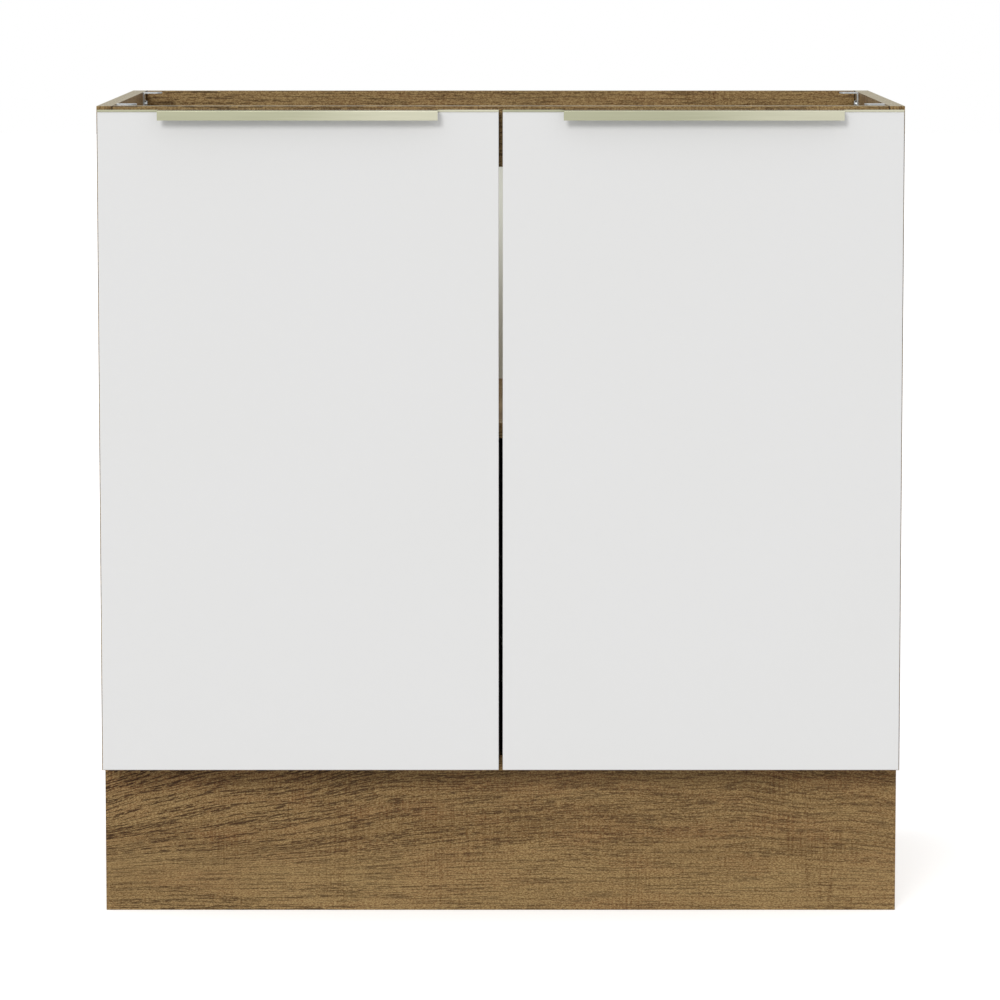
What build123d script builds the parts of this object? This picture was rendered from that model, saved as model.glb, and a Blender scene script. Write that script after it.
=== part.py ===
"""Kitchen base cabinet with two overlay doors, a fixed shelf and a recessed plinth.

Sizes are in millimetres. X points right and Y points to the rear, as seen from the front, and Z points up.
The floor is Z = 0, and X = Y = 0 is the middle of the footprint.
"""
import os
from math import hypot

from build123d import *

os.makedirs("parts", exist_ok=True)

# Carcass and plinth
CABINET_WIDTH = 800.0
CABINET_HEIGHT = 815.0
CARCASS_DEPTH = 510.0
BASE_HEIGHT = 150.0  # floor to the underside of the carcass
BOARD = 15.0
RAIL_HEIGHT = 60.0
LOWER_SPACE = 320.0  # clear height under the shelf
BACK_THICKNESS = 3.0
BACK_INSET = 1.0
TOE_RECESS = 40.0
CORNER_BLOCK = 30.0
CORNER_BLOCK_HEIGHT = 100.0

# Doors
DOOR_THICKNESS = 15.0
DOOR_BACK_GAP = 2.0
DOOR_CENTRE_GAP = 4.0
DOOR_SIDE_REVEAL = 2.0
DOOR_BOTTOM_REVEAL = 3.0
DOOR_TOP_REVEAL = 3.0
DOOR_EDGE_RADIUS = 0.8
BUMPER_RADIUS = 4.0
BUMPER_GAP = 0.3
BUMPER_EDGE_INSET = 25.0

# Edge pulls
PULL_THICKNESS = 2.0
PULL_REACH = 18.0  # door face to the front of the lip
PULL_PROUD = 1.0  # door face to the front of the plain strip
PULL_LIP_HEIGHT = 10.0
PULL_LIP_LENGTH = 276.0
PULL_LIP_RADIUS = 1.4
TONGUE_WIDTH = 1.6
TONGUE_DEPTH = 9.0
BARB_REACH = 0.4
BARB_HEIGHT = 2.0
BARB_COUNT = 2

# Dowel joints
CLEARANCE = 0.1
DOWEL_RADIUS = 4.0
DOWEL_LENGTH = 30.0
DOWEL_IN_FACE = 10.0
DOWEL_INSET = 50.0  # board edge to its dowel
DOWEL_PITCH = 32.0

# Worktop brackets
BRACKET_LEG = 20.0
BRACKET_WIDTH = 16.0
BRACKET_THICKNESS = 1.5
BRACKET_CORNER = 5.0
BRACKET_BEND = 1.5
BRACKET_HOLE_RADIUS = 2.2
BRACKET_FRONT_INSET = 72.0
BRACKET_REAR_INSET = 58.0

# Concealed hinges, in hinge coordinates: X from the side panel's inner face, Y from the carcass front edge
HINGE_INSET = 90.0  # door end to hinge centre
CUP_RADIUS = 17.5
CUP_DEPTH = 11.5
CUP_WALL = 1.0
CUP_EDGE_DISTANCE = 3.5
CUP_NOTCH_DEPTH = 1.8  # gap in the rim where the open links pass over it
CUP_FIT = 0.15
CUP_EAR_THICKNESS = 1.2
CUP_EAR_RADIUS = 5.0
CUP_EAR_OFFSET = 9.5
CUP_EAR_SPAN = 45.0
OUTER_ARM_PIVOT = (28.4, 16.9)
OUTER_CUP_PIVOT = (-1.7, -3.6)
INNER_ARM_PIVOT = (32.0, 1.8)
INNER_CUP_PIVOT = (3.3, -4.2)
INNER_EYE = (2.8, -5.1)  # middle of the inner link's wide eye around its cup pin
PIN_RADIUS = 1.2
PIN_CLEARANCE = 0.05
OPEN_CLEARANCE = 1.5  # free play of the cup pin in the wide eye
LINK_HALF_WIDTH = 1.25
EYE_WALL = 1.25
INNER_LINK_HALF = 4.0
LINK_GAP = 0.3
FORK_WALL = 1.5
FORK_LENGTH = 22.0
ARM_WALL = 1.4
ARM_NOSE_Y = -0.6
ARM_EYE_GAP = 0.5
ARM_TAIL_RADIUS = 5.5
ARM_TAIL_X = 8.5
ARM_ELBOW_Y = 34.0
ARM_END_Y = 60.0
PLATE_Y = 37.0
PLATE_WIDTH = 14.0
PLATE_LENGTH = 46.0
PLATE_THICKNESS = 2.0
PEDESTAL_HEIGHT = 10.0

# Places worked out from the sizes
half_width = CABINET_WIDTH / 2
inner_half = half_width - BOARD
overall_depth = PULL_REACH + DOOR_THICKNESS + DOOR_BACK_GAP + CARCASS_DEPTH + BACK_THICKNESS
door_front_y = PULL_REACH - overall_depth / 2
door_back_y = door_front_y + DOOR_THICKNESS
carcass_front_y = door_back_y + DOOR_BACK_GAP
carcass_rear_y = carcass_front_y + CARCASS_DEPTH
carcass_mid_y = (carcass_front_y + carcass_rear_y) / 2
carcass_height = CABINET_HEIGHT - BASE_HEIGHT
carcass_mid_z = BASE_HEIGHT + carcass_height / 2
bottom_mid_z = BASE_HEIGHT + BOARD / 2
bottom_top_z = BASE_HEIGHT + BOARD
shelf_mid_z = bottom_top_z + LOWER_SPACE + BOARD / 2
rail_mid_z = CABINET_HEIGHT - RAIL_HEIGHT / 2
front_rail_y = carcass_front_y + BOARD / 2
rear_rail_y = carcass_rear_y - BOARD / 2
door_width = half_width - DOOR_SIDE_REVEAL - DOOR_CENTRE_GAP / 2
door_bottom_z = BASE_HEIGHT + DOOR_BOTTOM_REVEAL
pull_top_z = CABINET_HEIGHT - DOOR_TOP_REVEAL
door_top_z = pull_top_z - PULL_THICKNESS
door_height = door_top_z - door_bottom_z
door_mid_x = (DOOR_CENTRE_GAP + door_width) / 2
door_mid_y = (door_front_y + door_back_y) / 2
door_mid_z = (door_bottom_z + door_top_z) / 2
toe_front_y = carcass_front_y + TOE_RECESS
toe_back_y = toe_front_y + BOARD
plinth_rear_y = carcass_rear_y - BOARD
plinth_length = plinth_rear_y - toe_back_y
plinth_mid_y = (toe_back_y + plinth_rear_y) / 2
plinth_mid_z = BASE_HEIGHT / 2
cup_x = CUP_EDGE_DISTANCE + CUP_RADIUS - (BOARD - DOOR_SIDE_REVEAL)
groove_half = TONGUE_WIDTH / 2 + BARB_REACH + CLEARANCE

SIDES = (("left", -1), ("right", 1))
HINGE_LEVELS = (("lower", door_bottom_z + HINGE_INSET), ("upper", door_top_z - HINGE_INSET))
BRACKET_ROWS = (
    ("front", carcass_front_y + BRACKET_FRONT_INSET),
    ("rear", carcass_rear_y - BRACKET_REAR_INSET),
)


def save(builder, name):
    """Label a finished sub-part and write its file."""
    builder.part.label = name
    export_step(builder.part, f"parts/{name}.step")


def x_planes(points, x, facing):
    """Planes at x that face along X (1 or -1), one for each (y, z) point."""
    return [Plane(origin=(x, y, z), x_dir=(0, 1, 0), z_dir=(facing, 0, 0)) for y, z in points]


def y_planes(points, y, facing):
    """Planes at y that face along Y (1 or -1), one for each (x, z) point."""
    return [Plane(origin=(x, y, z), x_dir=(1, 0, 0), z_dir=(0, facing, 0)) for x, z in points]


def z_planes(points, z, facing):
    """Planes at z that face along Z (1 or -1), one for each (x, y) point."""
    return [Plane(origin=(x, y, z), x_dir=(1, 0, 0), z_dir=(0, 0, facing)) for x, y in points]


def drill(planes, radius, depth):
    """Blind or through holes into the sub-part that is being built."""
    with Locations(*planes):
        Hole(radius, depth)


def edge_points(mid_z):
    """Dowel points (y, z) near the front and the rear of a level board."""
    return [(carcass_front_y + DOWEL_INSET, mid_z), (carcass_rear_y - DOWEL_INSET, mid_z)]


def rail_points(mid_y):
    """Dowel points (y, z), one above the other, in a rail on edge."""
    return [(mid_y, rail_mid_z - DOWEL_PITCH / 2), (mid_y, rail_mid_z + DOWEL_PITCH / 2)]


# Dowel joints, by board
dowel_points = {
    "bottom_panel": edge_points(bottom_mid_z),
    "shelf": edge_points(shelf_mid_z),
    "front_rail": rail_points(front_rail_y),
    "rear_rail": rail_points(rear_rail_y),
}
all_dowel_points = [point for points in dowel_points.values() for point in points]
stretcher_dowel_points = [(0, plinth_mid_z - DOWEL_PITCH), (0, plinth_mid_z + DOWEL_PITCH)]
dowel_hole_radius = DOWEL_RADIUS + CLEARANCE
dowel_depth = DOWEL_LENGTH - DOWEL_IN_FACE + CLEARANCE
dowel_face_depth = DOWEL_IN_FACE + CLEARANCE

# Plinth corners
block_x = half_width - BOARD - CORNER_BLOCK / 2
block_rows = (toe_back_y + CORNER_BLOCK / 2, plinth_rear_y - CORNER_BLOCK / 2)
block_corners = [(side * block_x, y) for _, side in SIDES for y in block_rows]

# Side panels
side_mid_x = half_width - BOARD / 2
for side_name, side in SIDES:
    with BuildPart() as side_panel:
        with Locations((side * side_mid_x, carcass_mid_y, carcass_mid_z)):
            Box(BOARD, CARCASS_DEPTH, carcass_height)
        drill(x_planes(all_dowel_points, side * inner_half, -side), dowel_hole_radius, dowel_face_depth)
    save(side_panel, f"{side_name}_side_panel")


def drill_ends(name):
    """Dowel holes in both ends of the board that is being built."""
    for _, side in SIDES:
        drill(x_planes(dowel_points[name], side * inner_half, side), dowel_hole_radius, dowel_depth)


# Bottom panel and shelf
for board_name, board_mid_z in (("bottom_panel", bottom_mid_z), ("shelf", shelf_mid_z)):
    with BuildPart() as board:
        with Locations((0, carcass_mid_y, board_mid_z)):
            Box(2 * inner_half, CARCASS_DEPTH, BOARD)
        drill_ends(board_name)
    save(board, board_name)

# Top rails
for rail_name, rail_y in (("front_rail", front_rail_y), ("rear_rail", rear_rail_y)):
    with BuildPart() as rail:
        with Locations((0, rail_y, rail_mid_z)):
            Box(2 * inner_half, BOARD, RAIL_HEIGHT)
        drill_ends(rail_name)
    save(rail, rail_name)

# Back panel, fixed to the rear edges of the boards
with BuildPart() as back_panel:
    with Locations((0, carcass_rear_y + BACK_THICKNESS / 2, carcass_mid_z)):
        Box(CABINET_WIDTH - 2 * BACK_INSET, BACK_THICKNESS, carcass_height - 2 * BACK_INSET)
save(back_panel, "back_panel")

# Plinth boards across the front and the rear
for board_name, face_y, facing in (("plinth_front", toe_back_y, 1), ("plinth_rear", plinth_rear_y, -1)):
    with BuildPart() as plinth_board:
        with Locations((0, face_y - facing * BOARD / 2, plinth_mid_z)):
            Box(CABINET_WIDTH, BOARD, BASE_HEIGHT)
        drill(y_planes(stretcher_dowel_points, face_y, facing), dowel_hole_radius, dowel_face_depth)
    save(plinth_board, board_name)

# Plinth boards along the sides
for side_name, side in SIDES:
    with BuildPart() as plinth_side:
        with Locations((side * side_mid_x, plinth_mid_y, plinth_mid_z)):
            Box(BOARD, plinth_length, BASE_HEIGHT)
    save(plinth_side, f"plinth_{side_name}")

# Plinth stretcher under the middle of the bottom panel
with BuildPart() as plinth_stretcher:
    with Locations((0, plinth_mid_y, plinth_mid_z)):
        Box(BOARD, plinth_length, BASE_HEIGHT)
    for face_y, facing in ((toe_back_y, -1), (plinth_rear_y, 1)):
        drill(y_planes(stretcher_dowel_points, face_y, facing), dowel_hole_radius, dowel_depth)
save(plinth_stretcher, "plinth_stretcher")

# Plinth corner blocks
with BuildPart() as plinth_blocks:
    with Locations(*[(x, y, BASE_HEIGHT - CORNER_BLOCK_HEIGHT / 2) for x, y in block_corners]):
        Box(CORNER_BLOCK, CORNER_BLOCK, CORNER_BLOCK_HEIGHT)
save(plinth_blocks, "plinth_blocks")

# Dowels
with BuildPart() as carcass_dowels:
    for _, side in SIDES:
        with Locations(*x_planes(all_dowel_points, side * (inner_half + DOWEL_IN_FACE), -side)):
            Cylinder(DOWEL_RADIUS, DOWEL_LENGTH, align=(Align.CENTER, Align.CENTER, Align.MIN))
save(carcass_dowels, "carcass_dowels")

with BuildPart() as plinth_dowels:
    for face_y, facing in ((toe_back_y - DOWEL_IN_FACE, 1), (plinth_rear_y + DOWEL_IN_FACE, -1)):
        with Locations(*y_planes(stretcher_dowel_points, face_y, facing)):
            Cylinder(DOWEL_RADIUS, DOWEL_LENGTH, align=(Align.CENTER, Align.CENTER, Align.MIN))
save(plinth_dowels, "plinth_dowels")

# Worktop brackets: an angle on each side panel, flush with the top of the carcass
bracket_end_radius = min(BRACKET_CORNER, BRACKET_WIDTH / 2 - CLEARANCE)
for side_name, side in SIDES:
    for row_name, row_y in BRACKET_ROWS:
        face_x = side * inner_half
        inward = -side
        bracket_plane = y_planes([(face_x, CABINET_HEIGHT)], row_y + BRACKET_WIDTH / 2, -1)[0]
        with BuildPart() as bracket:
            with BuildSketch(bracket_plane):
                with BuildLine():
                    Polyline(
                        (0, 0),
                        (inward * BRACKET_LEG, 0),
                        (inward * BRACKET_LEG, -BRACKET_THICKNESS),
                        (inward * BRACKET_THICKNESS, -BRACKET_THICKNESS),
                        (inward * BRACKET_THICKNESS, -BRACKET_LEG),
                        (0, -BRACKET_LEG),
                        close=True,
                    )
                outline = make_face()
                inside_corner = (inward * BRACKET_THICKNESS, -BRACKET_THICKNESS)
                fillet(outline.vertices().sort_by_distance(inside_corner)[0], BRACKET_BEND)
            extrude(amount=BRACKET_WIDTH)
            flat_end = bracket.faces().sort_by(Axis.X)[0 if inward < 0 else -1]
            low_end = bracket.faces().sort_by(Axis.Z)[0]
            end_edges = flat_end.edges().filter_by(Axis.Z) + low_end.edges().filter_by(Axis.X)
            fillet(end_edges, bracket_end_radius)
            top_x = face_x + inward * (BRACKET_LEG + BRACKET_THICKNESS) / 2
            drill(z_planes([(top_x, row_y)], CABINET_HEIGHT, 1), BRACKET_HOLE_RADIUS, BRACKET_LEG / 2)
        save(bracket, f"{side_name}_{row_name}_bracket")

# Doors
cup_centre_x = inner_half - cup_x
cup_points = [(cup_centre_x, height) for _, height in HINGE_LEVELS]
for side_name, side in SIDES:
    with BuildPart() as door:
        with Locations((side * door_mid_x, door_mid_y, door_mid_z)):
            Box(door_width, DOOR_THICKNESS, door_height)
        fillet(door.faces().sort_by(Axis.Y)[0].edges(), DOOR_EDGE_RADIUS)
        groove_depth = TONGUE_DEPTH + CLEARANCE
        with Locations((side * door_mid_x, door_mid_y, door_top_z)):
            Box(door_width, 2 * groove_half, 2 * groove_depth, mode=Mode.SUBTRACT)
        cup_planes = y_planes([(side * x, z) for x, z in cup_points], door_back_y, 1)
        drill(cup_planes, CUP_RADIUS + CUP_FIT, CUP_DEPTH + CUP_FIT)
    save(door, f"{side_name}_door")

# Edge pulls: a strip along the top of each door, with a barbed tongue below and a turned-down lip in front
lip_front_y = door_front_y - PULL_REACH
lip_inner_radius = PULL_LIP_RADIUS / 2
for side_name, side in SIDES:
    with BuildPart() as pull:
        strip_width = door_back_y - door_front_y + PULL_PROUD
        with Locations((side * door_mid_x, door_back_y - strip_width / 2, pull_top_z - PULL_THICKNESS / 2)):
            Box(door_width, strip_width, PULL_THICKNESS)
        with BuildSketch(Plane.YZ.offset(side * door_mid_x - door_width / 2)):
            with Locations((door_mid_y, door_top_z)):
                Rectangle(TONGUE_WIDTH, TONGUE_DEPTH, align=(Align.CENTER, Align.MAX))
            barb_half = TONGUE_WIDTH / 2 + BARB_REACH
            for number in range(BARB_COUNT):
                barb_z = door_top_z - TONGUE_DEPTH * (number + 1) / (BARB_COUNT + 1)
                with BuildLine():
                    Polyline(
                        (door_mid_y - barb_half, barb_z),
                        (door_mid_y + barb_half, barb_z),
                        (door_mid_y + TONGUE_WIDTH / 2, barb_z - BARB_HEIGHT),
                        (door_mid_y - TONGUE_WIDTH / 2, barb_z - BARB_HEIGHT),
                        close=True,
                    )
                make_face()
        extrude(amount=door_width)
        with BuildSketch(Plane.YZ.offset(side * door_mid_x - PULL_LIP_LENGTH / 2)):
            with BuildLine():
                Polyline(
                    (lip_front_y, pull_top_z),
                    (door_front_y, pull_top_z),
                    (door_front_y, door_top_z),
                    (lip_front_y + PULL_THICKNESS, door_top_z),
                    (lip_front_y + PULL_THICKNESS, pull_top_z - PULL_LIP_HEIGHT),
                    (lip_front_y, pull_top_z - PULL_LIP_HEIGHT),
                    close=True,
                )
            lip = make_face()
            fillet(lip.vertices().sort_by_distance((lip_front_y, pull_top_z))[0], PULL_LIP_RADIUS)
            inner_corner = lip.vertices().sort_by_distance((lip_front_y + PULL_THICKNESS, door_top_z))
            fillet(inner_corner[0], lip_inner_radius)
        extrude(amount=PULL_LIP_LENGTH)
    save(pull, f"{side_name}_pull")

# Door bumpers near the meeting edges
bumper_x = DOOR_CENTRE_GAP / 2 + BUMPER_EDGE_INSET
for side_name, side in SIDES:
    with BuildPart() as bumpers:
        bumper_points = [(side * bumper_x, bottom_mid_z), (side * bumper_x, rail_mid_z)]
        with Locations(*y_planes(bumper_points, door_back_y, 1)):
            bumper_height = DOOR_BACK_GAP - BUMPER_GAP
            Cylinder(BUMPER_RADIUS, bumper_height, align=(Align.CENTER, Align.CENTER, Align.MIN))
    save(bumpers, f"{side_name}_bumpers")


def hull_of(*circles):
    """Flat outline drawn tight around circles given as (x, y, radius)."""
    with BuildSketch() as outline:
        for x, y, radius in circles:
            with Locations((x, y)):
                Circle(radius)
        make_hull()
    return outline.sketch


def between(start, end, distance):
    """Point on the line from start to end, at a distance from start."""
    share = distance / hypot(end[0] - start[0], end[1] - start[1])
    return (start[0] + share * (end[0] - start[0]), start[1] + share * (end[1] - start[1]))


# Hinge sizes worked out from the pivots
pin_hole = PIN_RADIUS + PIN_CLEARANCE
eye_radius = pin_hole + EYE_WALL
wide_hole = PIN_RADIUS + OPEN_CLEARANCE
wide_eye_radius = wide_hole + EYE_WALL
fork_inner = INNER_LINK_HALF + LINK_GAP
link_half = fork_inner + FORK_WALL
cheek_inner = link_half + LINK_GAP
arm_half = cheek_inner + ARM_WALL
arm_eye_radius = eye_radius + ARM_EYE_GAP + ARM_WALL

# Cup, sunk in the back of the door, with the two cheeks that hold its pins
cup_plane = Plane(origin=(cup_x, -DOOR_BACK_GAP, 0), x_dir=(1, 0, 0), z_dir=(0, 1, 0))
ear_low = cheek_inner + ARM_WALL + CUP_EAR_RADIUS
ear_outlines = [
    hull_of(
        (CUP_EAR_OFFSET, shift * CUP_EAR_SPAN / 2, CUP_EAR_RADIUS),
        (-CUP_EAR_OFFSET, shift * ear_low, CUP_EAR_RADIUS),
        (CUP_EAR_OFFSET, shift * ear_low, CUP_EAR_RADIUS),
    )
    for shift in (-1, 1)
]
cheek_left = OUTER_CUP_PIVOT[0] - eye_radius
cheek_right = INNER_CUP_PIVOT[0] + eye_radius
cheek_height = CUP_DEPTH - CUP_WALL / 2
with BuildPart() as hinge_cup:
    with BuildSketch(cup_plane):
        Circle(CUP_RADIUS)
    extrude(amount=-CUP_DEPTH)
    with BuildSketch(cup_plane):
        Circle(CUP_RADIUS - CUP_WALL)
    extrude(amount=CUP_WALL - CUP_DEPTH, mode=Mode.SUBTRACT)
    for ear_outline in ear_outlines:
        with BuildSketch(cup_plane):
            add(ear_outline)
        extrude(amount=CUP_EAR_THICKNESS)
    with Locations((cup_x - CUP_RADIUS, -DOOR_BACK_GAP, 0)):
        Box(CUP_RADIUS, 2 * CUP_NOTCH_DEPTH, 2 * cheek_inner, mode=Mode.SUBTRACT)
    cheek_mid_x = (cheek_left + cheek_right) / 2
    cheek_mid_y = -DOOR_BACK_GAP - CUP_DEPTH + CUP_WALL / 2 + cheek_height / 2
    cheek_mid_z = cheek_inner + ARM_WALL / 2
    with Locations((cheek_mid_x, cheek_mid_y, -cheek_mid_z), (cheek_mid_x, cheek_mid_y, cheek_mid_z)):
        Box(cheek_right - cheek_left, cheek_height, ARM_WALL)
    with Locations((*OUTER_CUP_PIVOT, 0), (*INNER_CUP_PIVOT, 0)):
        Hole(pin_hole, cheek_inner + ARM_WALL)

# Outer link: a solid bar at the arm, forked at the cup
link_start = OUTER_ARM_PIVOT
link_end = OUTER_CUP_PIVOT
fork_root = between(link_end, link_start, FORK_LENGTH)
outer_bar = hull_of((*link_start, LINK_HALF_WIDTH), (*link_end, LINK_HALF_WIDTH))
fork_cut = hull_of((*fork_root, eye_radius + LINK_GAP), (*link_end, eye_radius + LINK_GAP))
with BuildPart() as outer_link:
    with BuildSketch(Plane.XY.offset(-link_half)):
        add(outer_bar)
        with Locations(link_start, link_end):
            Circle(eye_radius)
        with Locations(link_start, link_end):
            Circle(pin_hole, mode=Mode.SUBTRACT)
    extrude(amount=2 * link_half)
    with BuildSketch(Plane.XY.offset(-fork_inner)):
        add(fork_cut)
    extrude(amount=2 * fork_inner, mode=Mode.SUBTRACT)

# Inner link: a narrow bar with a wide hub at the arm and a wide eye at the cup
inner_bar = hull_of((*INNER_ARM_PIVOT, LINK_HALF_WIDTH), (*INNER_EYE, LINK_HALF_WIDTH))
with BuildPart() as inner_link:
    with BuildSketch(Plane.XY.offset(-INNER_LINK_HALF)):
        add(inner_bar)
        with Locations(INNER_EYE):
            Circle(wide_eye_radius)
        with Locations(INNER_EYE):
            Circle(wide_hole, mode=Mode.SUBTRACT)
    extrude(amount=2 * INNER_LINK_HALF)
    with BuildSketch(Plane.XY.offset(-link_half)):
        with Locations(INNER_ARM_PIVOT):
            Circle(eye_radius)
    extrude(amount=2 * link_half)
    with Locations((*INNER_ARM_PIVOT, 0)):
        Hole(pin_hole, link_half)

# Arm: a channel that rises from the plate to the two arm pivots
arm_circles = [
    (*INNER_ARM_PIVOT, arm_eye_radius),
    (*OUTER_ARM_PIVOT, arm_eye_radius),
    (ARM_TAIL_X, ARM_ELBOW_Y, ARM_TAIL_RADIUS),
    (ARM_TAIL_X, ARM_END_Y, ARM_TAIL_RADIUS),
]
arm_outlines = [hull_of(*pair) for pair in zip(arm_circles, arm_circles[1:])]
nose_cut = 2 * arm_eye_radius
with BuildPart() as hinge_arm:
    for reach, half, cut in ((0, arm_half, Mode.ADD), (-ARM_WALL, cheek_inner, Mode.SUBTRACT)):
        with BuildSketch(Plane.XY.offset(-half)):
            with Locations((reach, 0)):
                for arm_outline in arm_outlines:
                    add(arm_outline)
        extrude(amount=2 * half, mode=cut)
    with Locations((INNER_ARM_PIVOT[0], ARM_NOSE_Y - nose_cut / 2, 0)):
        Box(2 * nose_cut, nose_cut, 2 * arm_half, mode=Mode.SUBTRACT)
    with Locations((*OUTER_ARM_PIVOT, 0), (*INNER_ARM_PIVOT, 0)):
        Hole(pin_hole, arm_half)

# Plate: two wings against the side panel and the pedestal that the arm sits over
pedestal_front = ARM_ELBOW_Y
pedestal_length = ARM_END_Y - ARM_ELBOW_Y
with BuildPart() as hinge_plate:
    with Locations((PLATE_THICKNESS / 2, PLATE_Y, 0)):
        Box(PLATE_THICKNESS, PLATE_WIDTH, PLATE_LENGTH)
    fillet(hinge_plate.edges().filter_by(Axis.X), PLATE_WIDTH / 4)
    with Locations((PEDESTAL_HEIGHT / 2, pedestal_front + pedestal_length / 2, 0)):
        Box(PEDESTAL_HEIGHT, pedestal_length, 2 * link_half)

# Hinge pins, in hinge coordinates
with BuildPart() as arm_pins:
    with Locations((*OUTER_ARM_PIVOT, 0), (*INNER_ARM_PIVOT, 0)):
        Cylinder(PIN_RADIUS, 2 * arm_half)

rivet_length = cheek_inner + ARM_WALL - fork_inner
with BuildPart() as cup_pins:
    with Locations((*INNER_CUP_PIVOT, 0)):
        Cylinder(PIN_RADIUS, 2 * (cheek_inner + ARM_WALL))
    with Locations(*[(*OUTER_CUP_PIVOT, shift * (fork_inner + rivet_length / 2)) for shift in (-1, 1)]):
        Cylinder(PIN_RADIUS, rivet_length)


def at_hinge(piece, side, height):
    """Hinge piece moved to one hinge of the left door, or mirrored to the right door."""
    moved = piece.moved(Location((-inner_half, carcass_front_y, height)))
    return moved if side < 0 else moved.mirror(Plane.YZ)


hinge_pieces = {
    "hinge_cup": hinge_cup.part,
    "outer_link": outer_link.part,
    "inner_link": inner_link.part,
    "hinge_arm": hinge_arm.part,
    "hinge_plate": hinge_plate.part,
}
for side_name, side in SIDES:
    for level_name, height in HINGE_LEVELS:
        for piece_name, piece in hinge_pieces.items():
            with BuildPart() as placed_piece:
                add(at_hinge(piece, side, height))
            save(placed_piece, f"{side_name}_{level_name}_{piece_name}")

# Cup pins, which stay with a door
for side_name, side in SIDES:
    with BuildPart() as door_pins:
        for _, height in HINGE_LEVELS:
            add(at_hinge(cup_pins.part, side, height))
    save(door_pins, f"{side_name}_cup_pins")

# Arm pins, which stay with the carcass
with BuildPart() as carcass_pins:
    for _, side in SIDES:
        for _, height in HINGE_LEVELS:
            add(at_hinge(arm_pins.part, side, height))
save(carcass_pins, "hinge_arm_pins")
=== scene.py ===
# %% [markdown]
# A kitchen base cabinet, dressed for a studio picture.
# The real cabinet is an open-topped box of oak-look boards on a recessed plinth, closed by two white doors.
# Its boards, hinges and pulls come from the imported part, each already in its true place, so nothing is
# fitted by eye. This lesson adds the camera, the light, finishes made of nodes, and the small fixings that
# the solids leave out.

# %% Load the cabinet
from math import cos, pi, radians, sin

import bmesh
import bpy
from mathutils import Matrix, Vector


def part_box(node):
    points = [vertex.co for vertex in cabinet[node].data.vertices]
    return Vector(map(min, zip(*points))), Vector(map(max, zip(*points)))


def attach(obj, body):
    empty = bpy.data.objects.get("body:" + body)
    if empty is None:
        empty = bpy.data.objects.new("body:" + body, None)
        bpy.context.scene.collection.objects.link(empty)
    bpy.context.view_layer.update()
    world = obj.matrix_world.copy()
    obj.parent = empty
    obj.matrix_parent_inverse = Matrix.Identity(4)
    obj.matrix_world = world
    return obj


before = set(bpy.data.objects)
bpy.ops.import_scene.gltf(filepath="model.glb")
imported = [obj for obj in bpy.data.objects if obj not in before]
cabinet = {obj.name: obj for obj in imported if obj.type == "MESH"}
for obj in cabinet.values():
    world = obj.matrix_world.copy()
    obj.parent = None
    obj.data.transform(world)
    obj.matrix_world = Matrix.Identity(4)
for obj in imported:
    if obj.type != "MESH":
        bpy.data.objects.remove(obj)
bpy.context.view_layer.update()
scene = bpy.context.scene
scene.view_settings.view_transform = "Standard"


def short(numbers, digits=3):
    """Numbers cut short for printing."""
    return tuple(round(number, digits) for number in numbers)


# %% [markdown]
# The picture is taken from straight in front and a little above, so a thin slice of the open top shows.
# A long lens from far away keeps the door edges almost parallel. A short lens close by would spread the top
# more, but it would also pinch the doors together at the foot once the camera is tipped down.
# The lens is worked out from pixels: its length in pixels, over the picture's width, times the sensor.

# %% Camera
PICTURE_WIDTH = 1000
LENS_IN_PIXELS = 5059.4
SENSOR_WIDTH = 36.0
CAMERA_PLACE = (-0.0007, -5.256, 0.9825)
TIP_DOWN = radians(6.364)
optics = bpy.data.cameras.new("studio_camera")
optics.sensor_width = SENSOR_WIDTH
optics.lens = SENSOR_WIDTH * LENS_IN_PIXELS / PICTURE_WIDTH
camera = bpy.data.objects.new("studio_camera", optics)
camera.location = CAMERA_PLACE
camera.rotation_euler = (pi / 2 - TIP_DOWN, 0, 0)
scene.collection.objects.link(camera)
scene.camera = camera
print("lens in millimetres:", round(optics.lens, 1))

# %% [markdown]
# Every finish in this lesson is a small tree of nodes, and trees are quicker to read when adding a node is
# one line. These helpers add a node, set or link its inputs, and hand back one output.

# %% Node helpers
def add_node(tree, kind, inputs=None, out=0, **settings):
    """Add a node, fill its inputs with numbers or other outputs, and return one output."""
    node = tree.nodes.new(kind)
    for name, value in settings.items():
        setattr(node, name, value)
    for name, value in (inputs or {}).items():
        if isinstance(value, bpy.types.NodeSocket):
            tree.links.new(value, node.inputs[name])
        else:
            node.inputs[name].default_value = value
    return node.outputs[out]


def maths(tree, operation, *values):
    """One step of arithmetic on numbers or outputs."""
    return add_node(tree, "ShaderNodeMath", dict(enumerate(values)), operation=operation)


def product(tree, first, *others):
    """Multiply two or more numbers or outputs."""
    for other in others:
        first = maths(tree, "MULTIPLY", first, other)
    return first


def total(tree, first, *others):
    """Add two or more numbers or outputs."""
    for other in others:
        first = maths(tree, "ADD", first, other)
    return first


def mix_colours(tree, share, first, second):
    """Blend two colours by a share from 0 to 1."""
    return add_node(tree, "ShaderNodeMix", {0: share, 6: first, 7: second}, out=2, data_type="RGBA")


helpers = (add_node, maths, product, total, mix_colours)
print("node helpers:", ", ".join(helper.__name__ for helper in helpers))

# %% [markdown]
# Grain, dust and pits are all noise with its range cut down. Noise is stretched by a number of waves per
# metre in each direction, so a scale in this lesson can be checked with a ruler on a real board. A fade then
# maps part of the noise's range to what a finish needs. Colours are written as they are read in a picture.

# %% Noise and colour helpers
NOISE_RANGE = (0.3, 0.7)


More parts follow.
